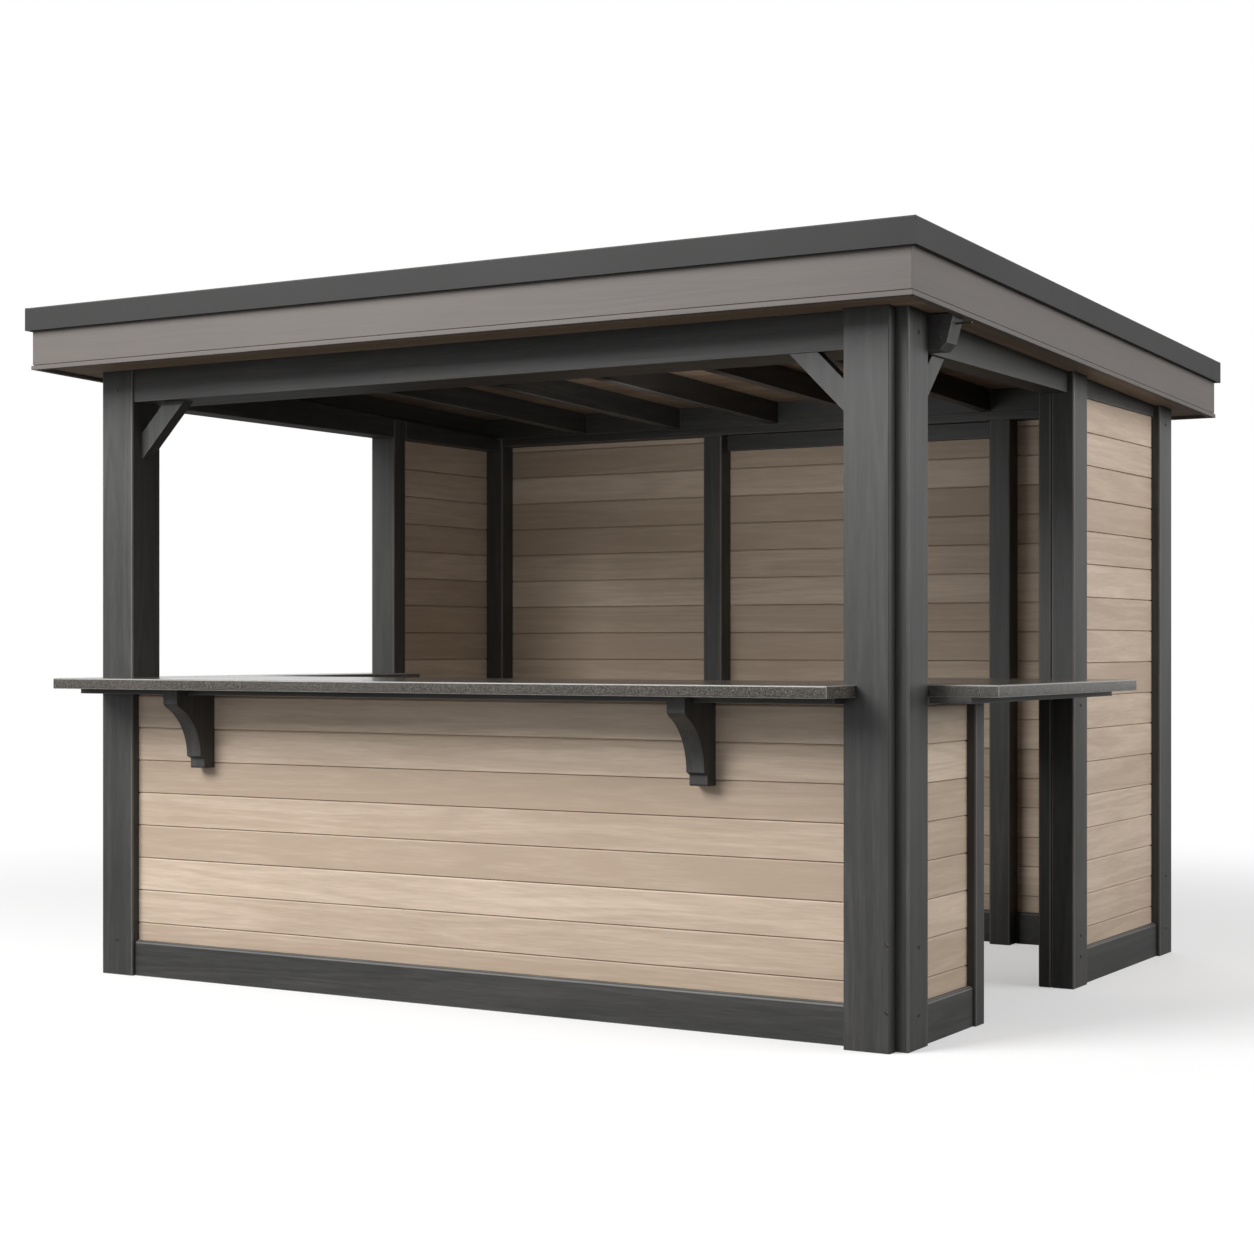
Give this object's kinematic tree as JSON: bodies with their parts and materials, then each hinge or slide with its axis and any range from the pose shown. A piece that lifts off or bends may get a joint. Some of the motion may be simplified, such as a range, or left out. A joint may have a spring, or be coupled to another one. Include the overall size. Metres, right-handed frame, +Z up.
{
  "type": "bar pavilion",
  "caption": "Open timber bar pavilion with a flat roof, boarded walls, low serving walls with wide counters, corbels and a doorway at the side.",
  "frame": {"origin": "on the ground at the middle of the whole footprint, counters and roof included", "axes": "+X along the front to the right, +Y to the back wall, +Z up; the front with the long counter faces -Y"},
  "size_m": [3.6284, 3.086, 2.4553],
  "materials": {
    "dark_timber": "dark grey stain, satin, fine grain",
    "wall_boards": "beige-brown stain, matt",
    "fascia_paint": "grey-brown stain, satin",
    "edge_trim": "dark grey powder coat, satin",
    "counter_top": "dark speckled laminate, satin",
    "soffit_boards": "brown stain, matt",
    "roof_sheet": "black sheet, matt"
  },
  "bodies": {
    "root": {"front_left_post": "dark_timber", "front_right_post": "dark_timber", "rear_left_post": "dark_timber", "rear_right_post": "dark_timber", "door_post": "dark_timber", "door_jamb": "dark_timber", "left_mid_post": "dark_timber", "doorway_stile": "dark_timber", "corner_cover_boards": "dark_timber", "front_beam": "dark_timber", "front_tie_beam": "dark_timber", "side_beams": "dark_timber", "front_low_wall": "wall_boards", "left_low_wall": "wall_boards", "right_low_wall": "wall_boards", "left_rear_wall": "wall_boards", "right_rear_wall": "wall_boards", "rear_wall": "wall_boards", "rear_wall_plate": "dark_timber", "rear_mid_posts": "dark_timber", "rear_head_rail": "dark_timber", "front_base_board": "dark_timber", "rear_base_board": "dark_timber", "left_base_boards": "dark_timber", "right_base_boards": "dark_timber", "inner_base_boards": "dark_timber", "front_counter": "counter_top", "right_counter": "counter_top", "left_counter": "counter_top", "front_counter_rails": "dark_timber", "right_counter_rail": "dark_timber", "counter_corbels": "dark_timber", "front_knee_braces": "dark_timber", "side_knee_brace": "dark_timber", "rafters": "dark_timber", "rafter_blocking": "dark_timber", "side_joists": "dark_timber", "roof_deck": "soffit_boards", "roof_sheet": "roof_sheet", "front_and_rear_soffit": "soffit_boards", "side_soffit": "soffit_boards", "front_and_rear_fascia": "fascia_paint", "side_fascia": "fascia_paint", "front_and_rear_trim": "edge_trim", "side_trim": "edge_trim"}
  },
  "joints": []
}
